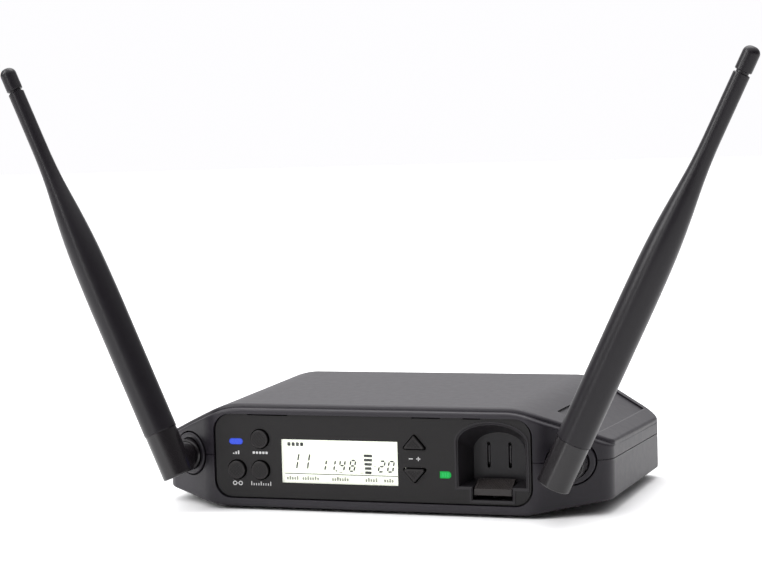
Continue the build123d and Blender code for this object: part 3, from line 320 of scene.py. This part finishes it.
class Sheet:
    """Thin raised shapes on a plane that faces -Y. Points are millimetres right of and below a corner."""

    def __init__(self, name, left, top, y, thick=0.03 * MM):
        self.name, self.left, self.top, self.y, self.thick = name, left, top, y, thick
        self.mesh = bmesh.new()

    def outline(self, points):
        across = [(self.left + u * MM, self.top - v * MM) for u, v in points]
        front = [self.mesh.verts.new((x, self.y - self.thick, z)) for x, z in across]
        back = [self.mesh.verts.new((x, self.y, z)) for x, z in across]
        self.mesh.faces.new(front)
        self.mesh.faces.new(list(reversed(back)))
        for i in range(len(front)):
            j = (i + 1) % len(front)
            self.mesh.faces.new((front[j], front[i], back[i], back[j]))

    def bar(self, u0, v0, u1, v1, round_by=0.0):
        if round_by <= 0:
            return self.outline([(u0, v1), (u1, v1), (u1, v0), (u0, v0)])
        points = []
        for cu, cv, start in ((u1 - round_by, v1 - round_by, 90), (u1 - round_by, v0 + round_by, 0),
                              (u0 + round_by, v0 + round_by, -90), (u0 + round_by, v1 - round_by, -180)):
            for step in range(5):
                a = math.radians(start - step * 22.5)
                points.append((cu + round_by * math.cos(a), cv + round_by * math.sin(a)))
        self.outline(points)

    def ring(self, u, v, outer, inner, steps=24):
        for k in range(steps):
            a, b = (math.radians(360 * (k + n) / steps) for n in (0, 1))
            self.outline([(u + radius * math.cos(turn), v + radius * math.sin(turn))
                          for radius, turn in ((outer, a), (outer, b), (inner, b), (inner, a))])

    def finish(self, look, slot, body="case"):
        bmesh.ops.recalc_face_normals(self.mesh, faces=self.mesh.faces)
        data = bpy.data.meshes.new(self.name)
        self.mesh.to_mesh(data)
        self.mesh.free()
        piece = bpy.data.objects.new(self.name, data)
        bpy.context.scene.collection.objects.link(piece)
        data.materials.append(look)
        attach(piece, body)
        return piece


SEGMENTS = {"0": "abcdef", "1": "bc", "2": "abged", "4": "fgbc", "8": "abcdefg", "-": "g"}


def digit(sheet, char, u, v, width, height, thick, slant=0.19):
    """One seven-segment figure whose top left corner is at (u, v)."""
    half, gap, mid = thick / 2, thick * 0.30, height / 2
    right, low = width - half, height - half
    runs = {"a": ((half, half), (right, half)), "g": ((half, mid), (right, mid)),
            "d": ((half, low), (right, low)), "f": ((half, half), (half, mid)),
            "b": ((right, half), (right, mid)), "e": ((half, mid), (half, low)),
            "c": ((right, mid), (right, low))}

    def lean(point):
        return (u + point[0] + (height - point[1]) * slant, v + point[1])

    for name in SEGMENTS[char]:
        (x0, y0), (x1, y1) = runs[name]
        length = math.hypot(x1 - x0, y1 - y0)
        dx, dy = (x1 - x0) / length, (y1 - y0) / length
        nx, ny = -dy * half, dx * half
        x0, y0, x1, y1 = x0 + dx * gap, y0 + dy * gap, x1 - dx * gap, y1 - dy * gap
        ix, iy = dx * half, dy * half
        corners = [(x0, y0), (x0 + ix + nx, y0 + iy + ny), (x1 - ix + nx, y1 - iy + ny),
                   (x1, y1), (x1 - ix - nx, y1 - iy - ny), (x0 + ix - nx, y0 + iy - ny)]
        sheet.outline([lean(corner) for corner in corners])


# Places on the display, in millimetres right of and below the window's upper left corner.
STROKE = 0.62
LARGE_ONES, LARGE_TOP, LARGE_TALL = (4.6, 8.9), 5.0, 6.6
FREQUENCY, SMALL_TOP, SMALL_TALL = (("1", 14.4), ("1", 17.9), ("4", 21.8), ("8", 25.9)), 7.2, 4.7
LEVEL_FIGURES = (("2", 37.3), ("0", 40.9))
METER_MIDDLE, METER_TOP, METER_PITCH = 33.75, 5.15, 1.58
METER_HALVES = (1.65, 1.65, 1.45, 1.3, 1.25)
MODE_BLOCKS, RULE = (1.9, 3.6, 5.3, 7.0), (0.7, 12.85, 45.2, 13.2)
CAPTIONS = ((1.4, 5), (7.6, 7), (19.4, 7), (32.6, 5), (39.9, 4))
CAPTION_FOOT, CAPTION_PITCH = 15.4, 0.98


def show_readings():
    """What the display shows: plain figures, a five-bar meter, a rule and rows of neutral blocks."""
    low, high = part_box("lcd_window")
    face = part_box("lcd_module")[0].y
    dark = Sheet("display_figures", low.x, high.z, face, 0.02 * MM)
    for u in LARGE_ONES:
        digit(dark, "1", u, LARGE_TOP, 1.0, LARGE_TALL, STROKE)
    for char, u in FREQUENCY:
        digit(dark, char, u, SMALL_TOP, 2.5, SMALL_TALL, STROKE)
    dark.bar(20.9, 11.3, 21.45, 11.85)
    for k, half in enumerate(METER_HALVES):
        v = METER_TOP + k * METER_PITCH
        dark.bar(METER_MIDDLE - half, v, METER_MIDDLE + half, v + 1.0, 0.25)
    digit(dark, "-", 35.3, 7.4, 1.4, 4.3, 0.6)
    for char, u in LEVEL_FIGURES:
        digit(dark, char, u, SMALL_TOP, 2.6, 4.6, STROKE)
    for u in MODE_BLOCKS:
        dark.bar(u, 1.2, u + 1.25, 2.6, 0.3)
    dark.finish(LOOK["segment_dark"], "display")
    rule = Sheet("display_rule", low.x, high.z, face, 0.02 * MM)
    rule.bar(*RULE)
    rule.finish(LOOK["rule_grey"], "display")
    faint = Sheet("display_captions", low.x, high.z, face, 0.02 * MM)
    for start, count in CAPTIONS:
        for k in range(count):
            tall = 1.1 if (k * 7 + count) % 3 else 1.5
            u = start + k * CAPTION_PITCH
            faint.bar(u, CAPTION_FOOT - tall, u + 0.66, CAPTION_FOOT, 0.18)
    for u in (22.3, 30.6):
        faint.bar(u, 12.0, u + 1.3, 12.3)
    faint.finish(LOOK["segment_faint"], "display")


def centre(node):
    low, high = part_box(node)
    return (low + high) / 2


def print_marks():
    """Plain white symbols under the indicator and the keys."""
    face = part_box("front_panel")[0].y

    def sheet(name, node, drop=5.2):
        middle = centre(node)
        return Sheet(name, middle.x, middle.z - drop * MM, face)

    signal = sheet("mark_signal", "rf_lens", 4.1)
    for k in range(3):
        signal.bar(-1.3 + k * 1.0, 0.55 - 0.45 * (k + 1) + 0.2, -0.75 + k * 1.0, 0.75)
    signal.finish(LOOK["ink"], "white_plastic")
    group = sheet("mark_group", "group_button")
    for k in range(5):
        group.bar(-3.1 + k * 1.3, -0.42, -2.2 + k * 1.3, 0.48, 0.2)
    group.finish(LOOK["ink"], "white_plastic")
    link = sheet("mark_link", "link_button")
    for side in (-1, 1):
        link.ring(side * 1.15, 0, 0.85, 0.5)
    link.bar(-0.6, -0.18, 0.6, 0.18)
    link.finish(LOOK["ink"], "white_plastic")
    channel = sheet("mark_channel", "channel_button")
    for k in range(9):
        tall = 0.75 if k % 4 == 0 else 0.42
        channel.bar(-4.0 + k * 0.96, 0.6 - 2 * tall + 0.1, -3.68 + k * 0.96, 0.7)
    channel.finish(LOOK["ink"], "white_plastic")
    low, high = centre("gain_down_button"), centre("gain_up_button")
    gain = Sheet("mark_gain", (low.x + high.x) / 2, (low.z + high.z) / 2, face)
    gain.bar(-2.2, -0.17, -0.7, 0.17)
    gain.bar(0.7, -0.17, 2.2, 0.17)
    gain.bar(1.28, -0.75, 1.62, 0.75)
    gain.finish(LOOK["ink"], "white_plastic")


def light_bars():
    """Three brighter strips in the battery indicator."""
    low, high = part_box("battery_lens")
    middle = (low + high) / 2
    bars = Sheet("battery_bars", middle.x, middle.z, low.y, 0.02 * MM)
    for k in (-1, 0, 1):
        bars.bar(k * 0.95 - 0.24, -0.72, k * 0.95 + 0.24, 0.72, 0.15)
    bars.finish(LOOK["lens_bar"], "green_lens")


show_readings()
print_marks()
light_bars()


# ---------------------------------------------------------------- floor, lights and camera

FLOOR_RINGS, FLOOR_STEPS = (0.3, 0.8, 1.6, 3.0, 6.0, 12.0), 48


def floor():
    """A wide pale sheet the feet stand on."""
    f = Finish("floor")
    base = f.mix(f.ramp(f.noise(0.4, 2.0), 0.3, 0.7), rgb(0.86, 0.86, 0.86), rgb(0.90, 0.90, 0.90))
    gloss = f.ramp(f.noise(5 * MM), 0.3, 0.7, 0.75, 0.85)
    shader = f.add("BsdfPrincipled", {"Base Color": base, "Roughness": gloss, "Specular IOR Level": 0.2})
    look = f.surface(shader.outputs[0])
    mesh = bmesh.new()
    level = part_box("rubber_feet")[0].z
    middle, rings = mesh.verts.new((0, 0, level)), []
    turns = [2 * math.pi * k / FLOOR_STEPS for k in range(FLOOR_STEPS)]
    for radius in FLOOR_RINGS:
        rings.append([mesh.verts.new((radius * math.cos(a), radius * math.sin(a), level)) for a in turns])
    for k in range(FLOOR_STEPS):
        mesh.faces.new((middle, rings[0][k], rings[0][(k + 1) % FLOOR_STEPS]))
    for inner, outer in zip(rings, rings[1:]):
        for k in range(FLOOR_STEPS):
            j = (k + 1) % FLOOR_STEPS
            mesh.faces.new((inner[k], outer[k], outer[j], inner[j]))
    data = bpy.data.meshes.new("floor")
    mesh.to_mesh(data)
    mesh.free()
    piece = bpy.data.objects.new("floor", data)
    bpy.context.scene.collection.objects.link(piece)
    data.materials.append(look)


def softbox(name, where, aim, size, power, color=(1, 1, 1)):
    data = bpy.data.lights.new(name, "AREA")
    data.shape, data.size, data.size_y = "RECTANGLE", size[0], size[1]
    data.energy, data.color = power, color
    lamp = bpy.data.objects.new(name, data)
    bpy.context.scene.collection.objects.link(lamp)
    lamp.location = where
    lamp.rotation_mode = "QUATERNION"
    lamp.rotation_quaternion = (Vector(aim) - Vector(where)).to_track_quat("-Z", "Y")


def surroundings(front=0.16, back=1.0, above=1.7):
    """A pale studio: white behind the object, bright overhead, dim towards the viewer and the right."""
    world = bpy.data.worlds.new("studio")
    bpy.context.scene.world = world
    world.use_nodes = True
    tree = world.node_tree
    tree.nodes.clear()

    def spread(value, low, high, start, end):
        node = tree.nodes.new("ShaderNodeMapRange")
        node.interpolation_type = "SMOOTHSTEP"
        for name, number in (("From Min", low), ("From Max", high), ("To Min", start), ("To Max", end)):
            node.inputs[name].default_value = number
        tree.links.new(value, node.inputs["Value"])
        return node.outputs["Result"]

    split = tree.nodes.new("ShaderNodeSeparateXYZ")
    tree.links.new(tree.nodes.new("ShaderNodeTexCoord").outputs["Generated"], split.inputs[0])
    right = tree.nodes.new("ShaderNodeMath")
    right.operation = "MULTIPLY"
    tree.links.new(spread(split.outputs["Y"], -0.3, 0.7, front, back), right.inputs[0])
    tree.links.new(spread(split.outputs["X"], 0.05, 0.4, 1.0, 0.35), right.inputs[1])
    total = tree.nodes.new("ShaderNodeMath")
    tree.links.new(right.outputs[0], total.inputs[0])
    tree.links.new(spread(split.outputs["Z"], 0.35, 0.95, 0.0, above), total.inputs[1])
    sky = tree.nodes.new("ShaderNodeBackground")
    sky.inputs["Color"].default_value = rgb(0.99, 0.985, 1.0)
    tree.links.new(total.outputs[0], sky.inputs["Strength"])
    out = tree.nodes.new("ShaderNodeOutputWorld")
    tree.links.new(sky.outputs[0], out.inputs["Surface"])


CAMERA_AT, LENS, SHIFT = (0.23387, -0.74030, 0.13544), 93.64, (-0.00406, 0.00476)


def camera(azimuth=18.18, elevation=4.05, roll=-1.46):
    a, e, r = (math.radians(v) for v in (azimuth, elevation, roll))
    ahead = Vector((-math.sin(a) * math.cos(e), math.cos(a) * math.cos(e), -math.sin(e)))
    right = ahead.cross(Vector((0, 0, 1))).normalized()
    up = right.cross(ahead)
    across, above = right * math.cos(r) + up * math.sin(r), up * math.cos(r) - right * math.sin(r)
    data = bpy.data.cameras.new("camera")
    data.sensor_fit, data.sensor_width, data.lens = "HORIZONTAL", 36, LENS
    data.shift_x, data.shift_y = SHIFT
    data.clip_start, data.clip_end = 0.01, 50
    cam = bpy.data.objects.new("camera", data)
    bpy.context.scene.collection.objects.link(cam)
    turn = Matrix((across, above, -ahead)).transposed().to_4x4()
    cam.matrix_world = Matrix.Translation(CAMERA_AT) @ turn
    bpy.context.scene.camera = cam


floor()
surroundings()
softbox("key", (-0.80, -0.55, 0.75), (0, 0, 0.05), (0.45, 0.8), 9)
softbox("strip", (-0.50, -1.05, 0.40), (0, 0, 0.08), (0.12, 0.9), 2.5)
softbox("top", (0.0, 0.25, 1.1), (0, 0, 0.05), (0.9, 0.6), 6)
camera()
bpy.context.scene.view_settings.view_transform = "Standard"
